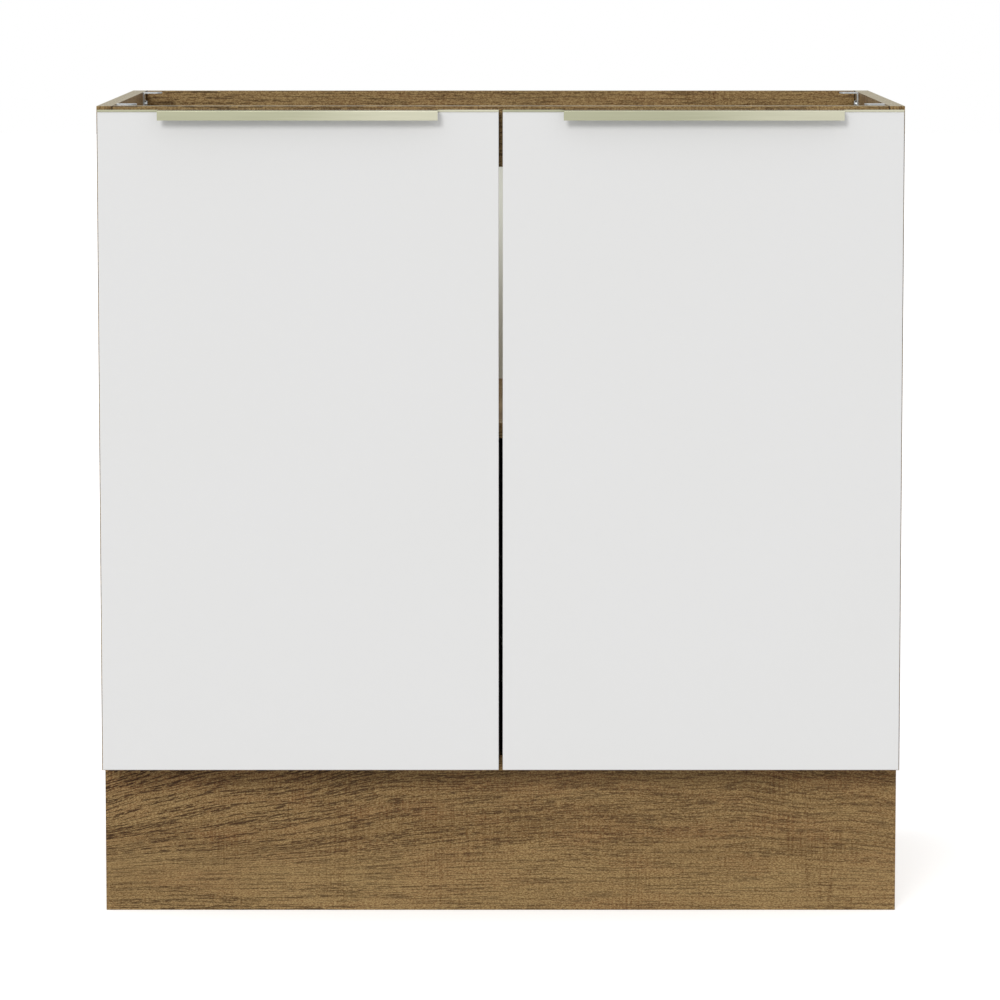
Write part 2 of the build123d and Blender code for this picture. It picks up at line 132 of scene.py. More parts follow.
def fade(tree, value, low, high, to_low=0.0, to_high=1.0):
    """Map a value from one range to another, with soft ends."""
    places = {"Value": value, "From Min": low, "From Max": high, "To Min": to_low, "To Max": to_high}
    return add_node(tree, "ShaderNodeMapRange", places, interpolation_type="SMOOTHSTEP")


def grain_noise(tree, place, waves, detail=2.0, roughness=0.5):
    """Noise at a place in metres; waves is how many fit in a metre along each direction."""
    scaled = add_node(tree, "ShaderNodeVectorMath", {0: place, 1: waves}, operation="MULTIPLY")
    settings = {"Vector": scaled, "Scale": 1.0, "Detail": detail, "Roughness": roughness}
    return add_node(tree, "ShaderNodeTexNoise", settings)


def paint(red, green, blue):
    """A colour as read in a picture, 0 to 255, turned into the linear values that nodes use."""
    parts = [value / 255 for value in (red, green, blue)]
    linear = [part / 12.92 if part <= 0.04045 else ((part + 0.055) / 1.055) ** 2.4 for part in parts]
    return (*linear, 1.0)


print("a mid grey of 188 is", round(paint(188, 188, 188)[0], 3), "in linear light")

# %% [markdown]
# The cabinet stands in even studio light: a pale room all round, and one broad soft lamp from the upper
# left. Room and lamp together add up to about one, so a colour comes out as bright as it is written. Rays
# from the camera, from gloss and through clear parts see plain white instead of the dimmer room.

# %% Pale room
ROOM_STRENGTH = 0.64
WHITE = (1, 1, 1, 1)
room = bpy.data.worlds.new("studio_room")
room.use_nodes = True
scene.world = room
room_tree = room.node_tree


def seen_directly(tree):
    """1 for rays from the camera, from gloss and through clear parts, otherwise 0."""
    path = tree.nodes.new("ShaderNodeLightPath").outputs
    either = maths(tree, "MAXIMUM", path["Is Camera Ray"], path["Is Glossy Ray"])
    return maths(tree, "MAXIMUM", either, path["Is Transmission Ray"])


room_levels = {"Value": seen_directly(room_tree), "To Min": ROOM_STRENGTH, "To Max": 1.0}
room_air = room_tree.nodes["Background"]
room_air.inputs["Color"].default_value = WHITE
room_tree.links.new(add_node(room_tree, "ShaderNodeMapRange", room_levels), room_air.inputs["Strength"])
print("room light on the cabinet:", ROOM_STRENGTH)

# %% [markdown]
# The lamp lays a short soft shadow under each pull. A lamp panel close by would do that too, but its light
# would fade from one door to the other. A sun lights both doors alike, and its wide disc softens the shadow.

# %% Soft lamp
LAMP_STRENGTH = 1.15
LAMP_SPREAD = radians(16)
LAMP_HEIGHT = radians(21)
LAMP_SIDE = radians(14)
lamp_light = bpy.data.lights.new("soft_lamp", "SUN")
lamp_light.energy = LAMP_STRENGTH
lamp_light.angle = LAMP_SPREAD
lamp = bpy.data.objects.new("soft_lamp", lamp_light)
level_reach = cos(LAMP_HEIGHT)
towards_lamp = Vector((-sin(LAMP_SIDE) * level_reach, -cos(LAMP_SIDE) * level_reach, sin(LAMP_HEIGHT)))
lamp.rotation_mode = "QUATERNION"
lamp.rotation_quaternion = towards_lamp.to_track_quat("Z", "Y")
scene.collection.objects.link(lamp)
print("lamp shines from", short(towards_lamp, 2))

# %% [markdown]
# The floor is a plain pale sheet, large enough that no picture shows its edge. One huge square would do as
# well, but a grid keeps each face to a few metres. It lies a hair under the plinth, so that the two never
# fight for the same place.

# %% Floor sheet
FLOOR_SIZE = 40.0
FLOOR_SQUARES = 8
FLOOR_DROP = 0.0003
floor_mesh = bpy.data.meshes.new("studio_floor")
floor_form = bmesh.new()
bmesh.ops.create_grid(floor_form, x_segments=FLOOR_SQUARES, y_segments=FLOOR_SQUARES, size=FLOOR_SIZE / 2)
floor_form.to_mesh(floor_mesh)
floor_form.free()
floor = bpy.data.objects.new("studio_floor", floor_mesh)
floor.location.z = -FLOOR_DROP
scene.collection.objects.link(floor)
print("floor laid, metres across:", FLOOR_SIZE)

# %% [markdown]
# The sheet takes light like matt paper, so the plinth keeps a faint shadow on it. White paper alone would
# still look grey beside the background, so a little glow, seen only by direct rays, lifts it to white without
# lighting the cabinet from below.

# %% Floor paper
PAPER_SPECKS = 60.0
PAPER_TONES = (0.88, 0.90)
PAPER_GLOW = 0.55
floor_paper = bpy.data.materials.new("studio_paper")
floor_paper.use_nodes = True
paper = floor_paper.node_tree
paper.nodes.remove(paper.nodes["Principled BSDF"])
specks = add_node(paper, "ShaderNodeTexNoise", {"Scale": PAPER_SPECKS})
matt = add_node(paper, "ShaderNodeBsdfDiffuse", {"Color": fade(paper, specks, *NOISE_RANGE, *PAPER_TONES)})
glow = add_node(paper, "ShaderNodeEmission", {"Strength": product(paper, seen_directly(paper), PAPER_GLOW)})
lit_paper = add_node(paper, "ShaderNodeAddShader", {0: matt, 1: glow})
paper.links.new(lit_paper, paper.nodes["Material Output"].inputs["Surface"])
floor_mesh.materials.append(floor_paper)
print("floor paper glows by", PAPER_GLOW)

# %% [markdown]
# The boards are particle board with a printed oak skin. Printed oak repeats what sawn oak shows: fine fibre
# along the grain, slow rings that arch across the board, and dark pores in broken dashes along the rings.
# A picture texture would tie the print to one board, so it is drawn from noise. The arch comes first. A slow
# wave across the board says where its flames are, and every spot is moved across by a wide arc and a little
# sway, so that whatever is drawn on the moved spots follows the rings.

# %% Oak rings that arch
FLAME_WIDTH = 0.26
FLAME_WAVES = (3.0, 12.0, 12.0)
FLAME_EDGE = (0.3, 1.3)
SINE_RANGE = (-1.0, 1.0)
ARCH_MIDDLE = 0.15
ARCH_RADIUS = 2.2
SWAY_WAVES = (7.0, 14.0, 14.0)
SWAY_CUT = (0.2, 0.8)
SWAY_REACH = 0.004
SWAY_IN_PLAIN = 0.3


def follow_rings(tree, place):
    """The place moved along the rings, the distance along the grain, and 1 in a flame or 0 in plain wood."""
    sides = tree.nodes.new("ShaderNodeSeparateXYZ")
    tree.links.new(place, sides.inputs[0])
    along, across, through = sides.outputs
    wave = maths(tree, "SINE", product(tree, across, 2 * pi / FLAME_WIDTH))
    flame = fade(tree, total(tree, wave, grain_noise(tree, place, FLAME_WAVES)), *FLAME_EDGE)
    from_middle = maths(tree, "SUBTRACT", along, ARCH_MIDDLE)
    arch = maths(tree, "DIVIDE", product(tree, from_middle, from_middle), 2 * ARCH_RADIUS)
    arch = product(tree, arch, fade(tree, wave, *SINE_RANGE))
    sway_noise = grain_noise(tree, place, SWAY_WAVES, detail=1.0)
    sway = fade(tree, sway_noise, *SWAY_CUT, -SWAY_REACH, SWAY_REACH)
    sway = product(tree, sway, total(tree, product(tree, flame, 1 - SWAY_IN_PLAIN), SWAY_IN_PLAIN))
    ring = total(tree, across, arch, sway)
    bent = add_node(tree, "ShaderNodeCombineXYZ", {0: along, 1: ring, 2: through})
    return bent, along, flame


print("oak rings arch with a radius of", ARCH_RADIUS, "metres")

# %% [markdown]
# Pores are what make oak look like oak. A slow noise passes its middle value along thin winding lines, so
# keeping only what is near the middle draws the wide pores of a ring as thin ridges. Hair lines, cut from a
# finer noise, fill the plain wood between. A quick noise breaks both into dashes, and slow patches make one
# stretch of a board livelier than the next. One noise cut for all of it would give worms, not pores.

# %% Oak pores
RING_WAVES = (8.0, 170.0, 170.0)
RING_MIDDLE = 0.5
RING_HALF_WIDTH = (0.012, 0.036)
RING_IN_PLAIN = 0.12
HAIR_WAVES = (16.0, 700.0, 700.0)
HAIR_CUT = (0.51, 0.55)
HAIR_IN_PLAIN = 0.85
DASH_WAVES = (110.0, 900.0, 900.0)
DASH_CUT = (0.42, 0.50)
LIVELY_STRETCH = (-0.45, 0.20)
LIVELY_SHARE = (0.90, 0.60)
PATCH_WAVES = (2.2, 7.0, 7.0)
PATCH_CUT = (0.36, 0.60)
PATCH_SHARE = (0.6, 1.0)


def pore_lines(tree, place, bent, along, flame):
    """How deep a spot lies in a pore, from 0 to 1."""
    from_line = maths(tree, "SUBTRACT", grain_noise(tree, bent, RING_WAVES, detail=1.5), RING_MIDDLE)
    rings = fade(tree, maths(tree, "ABSOLUTE", from_line), *RING_HALF_WIDTH, 1.0, 0.0)
    hairs = fade(tree, grain_noise(tree, bent, HAIR_WAVES), *HAIR_CUT)
    dashes = fade(tree, grain_noise(tree, bent, DASH_WAVES), *DASH_CUT)
    lively = fade(tree, along, *LIVELY_STRETCH, *LIVELY_SHARE)
    patches = fade(tree, grain_noise(tree, place, PATCH_WAVES), *PATCH_CUT, *PATCH_SHARE)
    lively_patches = product(tree, patches, lively)
    rings = product(tree, rings, fade(tree, flame, 0.0, 1.0, RING_IN_PLAIN, 1.0), dashes, lively_patches)
    hairs = product(tree, hairs, fade(tree, flame, 0.0, 1.0, HAIR_IN_PLAIN, 1.0), dashes, lively)
    return maths(tree, "MAXIMUM", rings, hairs)


print("pore dashes are about", round(1000 / DASH_WAVES[0]), "mm long")

# %% [markdown]
# Between the pores the print plays between a pale and a dark brown. Fibre runs along the grain, a fine
# speckle stands for the dots of the print, slow clouds and the flames shift the tone, and faint bars square
# to the grain recall the marks of a saw. Each only changes the share of dark brown, so the wood never takes
# on a colour that oak doesn't have.

# %% Share of dark oak
FIBRE_SHARE = (0.10, 0.24)
SPECKLE_WAVES = (420.0, 900.0, 900.0)
SPECKLE_CUT = (0.36, 0.64)
SPECKLE_SHARE = (-0.10, 0.73)
CLOUD_WAVES = (2.5, 26.0, 26.0)
CLOUD_SHARE = (0.0, 0.12)
SAW_BAR_WAVES = (520.0, 16.0, 16.0)
SAW_BAR_CUT = (0.48, 0.62)
SAWN_PATCH_WAVES = (11.0, 9.0, 9.0)
SAWN_PATCH_CUT = (0.50, 0.66)
SAWN_PATCH_SHARE = (0.0, 0.16)
FLAME_SHARE = 0.125


def dark_share(tree, place, bent, fibre, flame):
    """How much of the dark brown shows at a spot between the pores."""
    clouds = fade(tree, grain_noise(tree, place, CLOUD_WAVES), *NOISE_RANGE, *CLOUD_SHARE)
    bars = fade(tree, grain_noise(tree, place, SAW_BAR_WAVES), *SAW_BAR_CUT)
    sawn_noise = grain_noise(tree, place, SAWN_PATCH_WAVES, detail=1.0)
    sawn = fade(tree, sawn_noise, *SAWN_PATCH_CUT, *SAWN_PATCH_SHARE)
    tone = total(tree, clouds, product(tree, bars, sawn), product(tree, flame, FLAME_SHARE))
    threads = fade(tree, fibre, *NOISE_RANGE, *FIBRE_SHARE)
    speckle_noise = grain_noise(tree, bent, SPECKLE_WAVES, detail=3.0, roughness=0.9)
    speckle = fade(tree, speckle_noise, *SPECKLE_CUT, *SPECKLE_SHARE)
    return total(tree, tone, total(tree, threads, speckle))


print("speckles are about", round(1000 / SPECKLE_WAVES[0], 1), "mm long")

# %% [markdown]
# Now the print comes together: pale and dark brown mixed by that share, with a redder brown here and there,
# and the pores laid over them. The same pores and fibre give the height that the light reads as relief, so
# what looks open also feels open.

# %% Printed oak
OAK_PALE = paint(186, 159, 109)
OAK_DARK = paint(104, 74, 41)
OAK_RED = paint(109, 73, 41)
OAK_PORE = paint(40, 17, 6)
RED_WAVES = (9.0, 40.0, 40.0)
RED_CUT = (0.42, 0.66)
FIBRE_WAVES = (22.0, 480.0, 480.0)
FIBRE_DEPTH = 0.3
PORE_SHARE = 0.95


def oak_print(tree, place):
    """Colour and height of printed oak; place is (along, across, through) in metres."""
    bent, along, flame = follow_rings(tree, place)
    pores = pore_lines(tree, place, bent, along, flame)
    fibre = grain_noise(tree, bent, FIBRE_WAVES, detail=4.0, roughness=0.7)
    red = fade(tree, grain_noise(tree, place, RED_WAVES), *RED_CUT)
    brown = mix_colours(tree, red, OAK_DARK, OAK_RED)
    plain = mix_colours(tree, dark_share(tree, place, bent, fibre, flame), OAK_PALE, brown)
    colour = mix_colours(tree, product(tree, pores, PORE_SHARE), plain, OAK_PORE)
    height = maths(tree, "SUBTRACT", product(tree, fibre, FIBRE_DEPTH), pores)
    return colour, height


print("oak fibre is about", round(1000 / FIBRE_WAVES[1], 1), "mm wide")

# %% [markdown]
# Where a board is sawn and left bare, its pressed chips show: cream flakes a few millimetres long with darker
# ones between. Cells of random tint look like flakes, so a Voronoi pattern stands for them, torn a little by
# noise so that no flake has a straight edge.

# %% Bare particle board
CHIP_PALE = paint(206, 199, 180)
CHIP_DARK = paint(170, 157, 128)
FLAKES_PER_METRE = (300.0, 760.0, 760.0)
FLAKE_TEAR = 1.7
FLAKE_CONTRAST = 2.2
DUST_WAVES = (900.0, 1600.0, 1600.0)
DUST_SHARE = (-0.15, 0.25)


def bare_chips(tree, place):
    """Colour of a sawn particle board edge."""
    scaled = add_node(tree, "ShaderNodeVectorMath", {0: place, 1: FLAKES_PER_METRE}, operation="MULTIPLY")
    tear = {"Vector": scaled, "Scale": FLAKE_TEAR, "Detail": 3.0}
    ragged = add_node(tree, "ShaderNodeTexNoise", tear, out=1)
    torn = add_node(tree, "ShaderNodeVectorMath", {0: scaled, 1: ragged}, operation="ADD")
    flakes = add_node(tree, "ShaderNodeTexVoronoi", {"Vector": torn, "Scale": 1.0}, out=1)
    flake_tint = add_node(tree, "ShaderNodeSeparateColor", {0: flakes})
    dust = fade(tree, grain_noise(tree, place, DUST_WAVES, detail=3.0), *NOISE_RANGE, *DUST_SHARE)
    share = total(tree, maths(tree, "POWER", flake_tint, FLAKE_CONTRAST), dust)
    return mix_colours(tree, share, CHIP_PALE, CHIP_DARK)


print("flakes are about", round(1000 / FLAKES_PER_METRE[0], 1), "mm long")

# %% [markdown]
# Every finish begins and ends alike. It begins as an empty material with one main shader, and it ends with a
# colour, a roughness and a height for relief. Writing both ends once leaves each finish below with only what
# makes it different. Values that are the same over a whole surface could come from a node too, but they are
# set straight on the shader, where an exporter looks for them.

# %% Begin and end a finish
def begin_finish(name):
    """A new material, its tree, and the spots and directions on the surface it covers."""
    material = bpy.data.materials.new(name)
    material.use_nodes = True
    tree = material.node_tree
    return material, tree, tree.nodes.new("ShaderNodeTexCoord").outputs


def set_even(tree, name, value):
    """Set one of the main shader's values alike over the whole surface."""
    tree.nodes["Principled BSDF"].inputs[name].default_value = value


def end_finish(tree, colour, roughness, height, strength, distance):
    """Link colour, roughness and relief to the main shader."""
    surface = tree.nodes["Principled BSDF"].inputs
    relief = {"Height": height, "Strength": strength, "Distance": distance}
    tree.links.new(colour, surface["Base Color"])
    tree.links.new(roughness, surface["Roughness"])
    tree.links.new(add_node(tree, "ShaderNodeBump", relief), surface["Normal"])


def dress(material, *names):
    """Give CAD pieces a finish."""
    for name in names:
        cabinet[name].data.materials.clear()
        cabinet[name].data.materials.append(material)


print("pieces still to dress:", len(cabinet))

# %% [markdown]
# Each board takes the same print, turned so that its grain runs along the board, and shifted so that no two
# boards match. Unwrapping every board would do that as well, but spots in the board's own space already come
# in metres, so swapping their three sides is enough.

# %% Grain along a board
GRAIN_UPRIGHT = "zyx"
GRAIN_FLAT = "xyz"
GRAIN_ACROSS = "xzy"
GRAIN_DEEP = "yzx"


def grain_place(tree, spots, grain, shift):
    """Spots on a board, shifted, and turned to read along, across and through its grain."""
    moved = add_node(tree, "ShaderNodeVectorMath", {0: spots["Object"], 1: shift}, operation="ADD")
    sides = tree.nodes.new("ShaderNodeSeparateXYZ")
    tree.links.new(moved, sides.inputs[0])
    turned = {number: sides.outputs[axis.upper()] for number, axis in enumerate(grain)}
    return add_node(tree, "ShaderNodeCombineXYZ", turned)


print("an upright board reads along, across and through its grain as", ", ".join(GRAIN_UPRIGHT))

# %% [markdown]
# The skin covers the broad faces and the front edge of a board. The other edges are bare. Painting them one
# by one would tie the finish to each mesh, so the way a face points tells them apart: its direction is
# compared with the direction of the board's bare edges. Where a rail butts against a side panel, a thin dark
# line of painted shade marks the joint at its end.

# %% Bare edges and painted joint shade
BARE_FROM = (0.6, 0.8)
# painted shade: colour and width of the dark line at a rail's ends that stands for the shade in its joint
JOINT_SHADE_DARK = paint(46, 32, 20)
JOINT_SHADE_WIDTH = (0.0006, 0.0014)
RAIL_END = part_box("front_rail")[1].x


def likeness(tree, direction, other):
    """1 where two directions agree, 0 where they are square to each other."""
    pair = {0: direction, 1: other}
    return add_node(tree, "ShaderNodeVectorMath", pair, out=1, operation="DOT_PRODUCT")


def bare_share(tree, spots, bare_edges, bare_ends):
    """1 on bare edges, both ways along bare_edges and one way along bare_ends, and 0 on the skin."""
    either_way = add_node(tree, "ShaderNodeVectorMath", {0: spots["Normal"]}, operation="ABSOLUTE")
    edge = likeness(tree, either_way, bare_edges)
    end = likeness(tree, spots["Normal"], bare_ends)
    return fade(tree, maths(tree, "MAXIMUM", edge, end), *BARE_FROM)


def with_joint_shade(tree, spots, colour):
    """Paint shade into a rail's colour: a thin dark line at both of its ends, where it meets a side panel."""
    sideways = add_node(tree, "ShaderNodeSeparateXYZ", {0: spots["Object"]})
    from_end = maths(tree, "SUBTRACT", RAIL_END, maths(tree, "ABSOLUTE", sideways))
    return mix_colours(tree, fade(tree, from_end, *JOINT_SHADE_WIDTH), JOINT_SHADE_DARK, colour)


print("rails end at", round(RAIL_END, 4), "metres from the middle")

# %% [markdown]
# The finish of a board joins all this: print on the skin, chips on the bare edges, painted joint shade where
# it is asked for. The skin has a low satin gloss, duller in the pores, and bare chips have hardly any. More
# gloss would wash the browns out to grey under the white room.

# %% Board finish
SKIN_HEIGHTS = (-1.0, 0.3)
SKIN_ROUGHNESS = (0.62, 0.42)
BARE_ROUGHNESS = 0.95
SKIN_GLOSS = 0.12
SKIN_RELIEF = 0.25
SKIN_DEPTH = 0.0002
NO_EDGE = (0, 0, 0)


def board_finish(name, grain, bare_edges, bare_ends=NO_EDGE, shift=(0, 0, 0), joint_shade=False):
    """Printed oak on a board with its grain in one of the ways above, and chips on its bare edges."""
    material, tree, spots = begin_finish(name)
    place = grain_place(tree, spots, grain, shift)
    skin, height = oak_print(tree, place)
    bare = bare_share(tree, spots, bare_edges, bare_ends)
    colour = mix_colours(tree, bare, skin, bare_chips(tree, place))
    # painted shade at the rail's ends, where it meets the side panels
    if joint_shade:
        colour = with_joint_shade(tree, spots, colour)
    satin = fade(tree, height, *SKIN_HEIGHTS, *SKIN_ROUGHNESS)
    roughness = maths(tree, "MAXIMUM", satin, product(tree, bare, BARE_ROUGHNESS))
    set_even(tree, "Specular IOR Level", SKIN_GLOSS)
    end_finish(tree, colour, roughness, height, SKIN_RELIEF, SKIN_DEPTH)
    return material


print("skin roughness runs from", min(SKIN_ROUGHNESS), "to", max(SKIN_ROUGHNESS))

# %% [markdown]
# Now the eleven boards. On the real cabinet the sides' grain stands upright, and on all other boards it runs
# along their length. Each row names a board's grain, where its edges are bare, and its shift. One shared
# material would be shorter, but then the same flame would show on every board.

# %% Oak boards
STANDING = (0, 0, 1)
LEVEL = (1, 0, 0)
REAR = (0, 1, 0)
board_looks = {
    "left_side_panel": board_finish("oak_left_side", GRAIN_UPRIGHT, STANDING, REAR, (0.3, 0.7, -0.25)),
    "right_side_panel": board_finish("oak_right_side", GRAIN_UPRIGHT, STANDING, REAR, (1.3, 0.22, -0.42)),
    "bottom_panel": board_finish("oak_bottom", GRAIN_FLAT, LEVEL, REAR, (0.1, 1.6, 0.9)),
    "shelf": board_finish("oak_shelf", GRAIN_FLAT, LEVEL, REAR, (0.25, 2.3, 1.4)),
    "front_rail": board_finish("oak_front_rail", GRAIN_ACROSS, STANDING, shift=(0.05, 0.4, 0.162), joint_shade=True),
    "rear_rail": board_finish("oak_rear_rail", GRAIN_ACROSS, STANDING, shift=(0.15, 0.8, 0.175), joint_shade=True),
    "plinth_front": board_finish("oak_plinth_front", GRAIN_ACROSS, STANDING, shift=(0.0, 0.0, -0.045)),
    "plinth_rear": board_finish("oak_plinth_rear", GRAIN_ACROSS, STANDING, shift=(0.2, 1.1, 0.25)),
    "plinth_left": board_finish("oak_plinth_left", GRAIN_DEEP, STANDING, shift=(0.2, 0.1, 0.5)),
    "plinth_right": board_finish("oak_plinth_right", GRAIN_DEEP, STANDING, shift=(0.5, 0.25, 1.5)),
    "plinth_stretcher": board_finish("oak_plinth_stretcher", GRAIN_DEEP, STANDING, shift=(0.1, 0.3, 2.5)),
}
for board_name, board_look in board_looks.items():
    dress(board_look, board_name)
print("boards dressed in oak:", len(board_looks))

# %% [markdown]
# A sawn and taped board never has a knife-sharp edge, and that tiny round catches a line of light. The solids
# are left alone: a Bevel modifier rounds the edges on top of them, a third of a millimetre wide. The sides
# and rails get a wider round, so that their joints at the open top read as fine grooves.

# %% Softened board edges
EDGE_ROUND = 0.00035
JOINT_ROUND = 0.0008
ROUND_STEPS = 2
SHARP_FROM = radians(50)
JOINED_AT_TOP = ("left_side_panel", "right_side_panel", "front_rail", "rear_rail")


def soften(name, width):
    """Round the sharp edges of a CAD piece with a modifier."""
    bevel = cabinet[name].modifiers.new("softened_edges", "BEVEL")
    bevel.width = width
    bevel.segments = ROUND_STEPS
    bevel.limit_method = "ANGLE"
    bevel.angle_limit = SHARP_FROM
    bevel.harden_normals = False


for board_name in board_looks:
    soften(board_name, JOINT_ROUND if board_name in JOINED_AT_TOP else EDGE_ROUND)
print("boards with softened edges:", len(board_looks))

# %% [markdown]
# The doors are fibre board wrapped in a white satin skin. Seen close, such a skin has a faint ripple, like
# the peel of an orange, and its gloss wanders a little. Two noises give that, so weak that the door still
# reads as plain white.

# %% White doors
DOOR_WHITE = paint(228, 228, 228)
DOOR_WARM = paint(226, 226, 225)
DOOR_CLOUD_WAVES = (5.0, 5.0, 5.0)
DOOR_PEEL_WAVES = (420.0, 420.0, 420.0)
DOOR_ROUGHNESS = (0.36, 0.42)
DOOR_GLOSS = 0.3
DOOR_RELIEF = 0.05
DOOR_DEPTH = 0.0002
DOORS = ("left_door", "right_door")
door_skin, door_tree, door_spots = begin_finish("white_satin_skin")
door_cloud = grain_noise(door_tree, door_spots["Object"], DOOR_CLOUD_WAVES)
door_peel = grain_noise(door_tree, door_spots["Object"], DOOR_PEEL_WAVES, detail=1.0)
door_white = mix_colours(door_tree, door_cloud, DOOR_WHITE, DOOR_WARM)
door_satin = fade(door_tree, door_cloud, *NOISE_RANGE, *DOOR_ROUGHNESS)
set_even(door_tree, "Specular IOR Level", DOOR_GLOSS)
end_finish(door_tree, door_white, door_satin, door_peel, DOOR_RELIEF, DOOR_DEPTH)
dress(door_skin, *DOORS)
print("doors dressed:", len(DOORS))

# %% [markdown]
# Each pull is one length of extruded aluminium, brushed along its length and anodised to a pale champagne.
# Its colour is also painted from a darker, greener left end to a paler right end, a painted reflection along
# the bar.
# Brushing leaves fine lines along the bar, so the noise is stretched a hundredfold that way, and the
# roughness follows it. The top face is smoother, so it mirrors the dark rail behind it as a real one does.

# %% Champagne pulls
CHAMPAGNE_DEEP = paint(156, 156, 132)
CHAMPAGNE_PALE = paint(186, 184, 164)
BRUSH_WAVES = (25.0, 2600.0, 2600.0)
# painted reflection: where along each pull its colour turns paler, and by how much
PAINTED_SHEEN_ALONG = (0.39, 0.80)
PAINTED_SHEEN_SHARE = (0.0, 0.84)
BRUSH_SHARE = (-0.08, 0.08)
BRUSH_ROUGHNESS = (0.34, 0.46)
TOP_FROM = (0.8, 0.95)
TOP_SMOOTHER = (1.0, 0.3)
PULL_METAL = 0.85
BRUSH_RELIEF = 0.08
BRUSH_DEPTH = 0.0001
PULLS = ("left_pull", "right_pull")
pull_metal, pull_tree, pull_spots = begin_finish("champagne_anodised")
brushed = grain_noise(pull_tree, pull_spots["Object"], BRUSH_WAVES)
pull_run = add_node(pull_tree, "ShaderNodeSeparateXYZ", {0: pull_spots["Generated"]})
# painted reflection: the pull's colour grows paler from its left end to its right end, mixed with the real
# brushing
painted_sheen = fade(pull_tree, pull_run, *PAINTED_SHEEN_ALONG, *PAINTED_SHEEN_SHARE)
sheen_and_brush_share = total(pull_tree, painted_sheen, fade(pull_tree, brushed, *NOISE_RANGE, *BRUSH_SHARE))
champagne = mix_colours(pull_tree, sheen_and_brush_share, CHAMPAGNE_DEEP, CHAMPAGNE_PALE)
upward = add_node(pull_tree, "ShaderNodeSeparateXYZ", {0: pull_spots["Normal"]}, out=2)
brush_shine = fade(pull_tree, brushed, *NOISE_RANGE, *BRUSH_ROUGHNESS)
pull_shine = product(pull_tree, brush_shine, fade(pull_tree, upward, *TOP_FROM, *TOP_SMOOTHER))
set_even(pull_tree, "Metallic", PULL_METAL)
end_finish(pull_tree, champagne, pull_shine, brushed, BRUSH_RELIEF, BRUSH_DEPTH)
dress(pull_metal, *PULLS)
print("pulls dressed:", len(PULLS))

# %% [markdown]
# The back is a thin hardboard sheet: painted white on the face that looks into the cabinet, and bare brown
# with a pressed texture on the face that meets the wall. Two sheets back to back would show that too, but the
# real back is one sheet, so one finish covers both faces, chosen by the way the surface points.

# %% Back sheet
BACK_WHITE = paint(243, 246, 235)
BACK_BROWN = paint(122, 92, 62)
BACK_FIBRE = paint(92, 66, 43)
PRESSED_WAVES = (350.0, 350.0, 350.0)
PRESSED_CUT = (0.35, 0.65)
WHITE_FACING = (-0.9, -0.6)
BACK_ROUGHNESS = (0.5, 0.75)
BACK_RELIEF = 0.2
BACK_DEPTH = 0.0002
back_sheet, back_tree, back_spots = begin_finish("hardboard_sheet")
pressed = grain_noise(back_tree, back_spots["Object"], PRESSED_WAVES, detail=4.0, roughness=0.7)
bare_brown = mix_colours(back_tree, fade(back_tree, pressed, *PRESSED_CUT), BACK_BROWN, BACK_FIBRE)
white_side = fade(back_tree, likeness(back_tree, back_spots["Normal"], REAR), *WHITE_FACING, 1.0, 0.0)
back_colour = mix_colours(back_tree, white_side, bare_brown, BACK_WHITE)
back_dull = fade(back_tree, pressed, *NOISE_RANGE, *BACK_ROUGHNESS)
end_finish(back_tree, back_colour, back_dull, pressed, BACK_RELIEF, BACK_DEPTH)
dress(back_sheet, "back_panel")
print("back sheet dressed, white inside")

# %% [markdown]
# Hinges are pressed from steel strip and nickel plated, and brackets and screws are zinc plated. Both
# platings are metal with a slightly uneven shine: soft cloudy patches where the bath ran, and fine pits.
# Zinc is duller and bluer. One function makes both, because they differ only in tint and shine.

# %% Plated steel
BATH_WAVES = (90.0, 90.0, 90.0)
PIT_WAVES = (2500.0, 2500.0, 2500.0)
PIT_RELIEF = 0.06
PIT_DEPTH = 0.0001
HINGE_PIECES = ("hinge_cup", "outer_link", "inner_link", "hinge_arm", "hinge_plate", "_pins")


def plated(name, bright, dull, roughness):
    """Plated steel: two tints, and how smooth and how rough it gets."""
    material, tree, spots = begin_finish(name)
    bath = grain_noise(tree, spots["Object"], BATH_WAVES, detail=3.0)
    pits = grain_noise(tree, spots["Object"], PIT_WAVES, detail=1.0)
    colour = mix_colours(tree, fade(tree, bath, *NOISE_RANGE), bright, dull)
    set_even(tree, "Metallic", 1.0)
    end_finish(tree, colour, fade(tree, bath, *NOISE_RANGE, *roughness), pits, PIT_RELIEF, PIT_DEPTH)
    return material


nickel = plated("nickel_plated_steel", paint(214, 211, 203), paint(190, 187, 180), (0.22, 0.34))
zinc = plated("zinc_plated_steel", paint(205, 208, 208), paint(170, 174, 176), (0.30, 0.46))
hinge_names = [name for name in cabinet if name.endswith(HINGE_PIECES)]
bracket_names = [name for name in cabinet if name.endswith("_bracket")]
dress(nickel, *hinge_names)
dress(zinc, *bracket_names)
print("nickel pieces:", len(hinge_names), "zinc brackets:", len(bracket_names))

# %% [markdown]
# Inside the joints are beech dowels and blocks. Beech is pale and pinkish with short dark flecks along the
# grain, and it has no open pores, so the oak print would be wrong for it. One noise is drawn out along each
# piece instead: across the cabinet, from front to back, or upright.

# %% Beech
BEECH_PALE = paint(206, 170, 128)
BEECH_FLECK = paint(164, 120, 82)
FLECK_CUT = (0.35, 0.7)
BEECH_ROUGHNESS = (0.5, 0.65)
FLECK_RELIEF = 0.15
FLECK_DEPTH = 0.0002
BEECH_PIECES = {
    "carcass_dowels": ("beech_across", (60.0, 900.0, 900.0)),
    "plinth_dowels": ("beech_deep", (900.0, 60.0, 900.0)),
    "plinth_blocks": ("beech_upright", (700.0, 700.0, 40.0)),
}


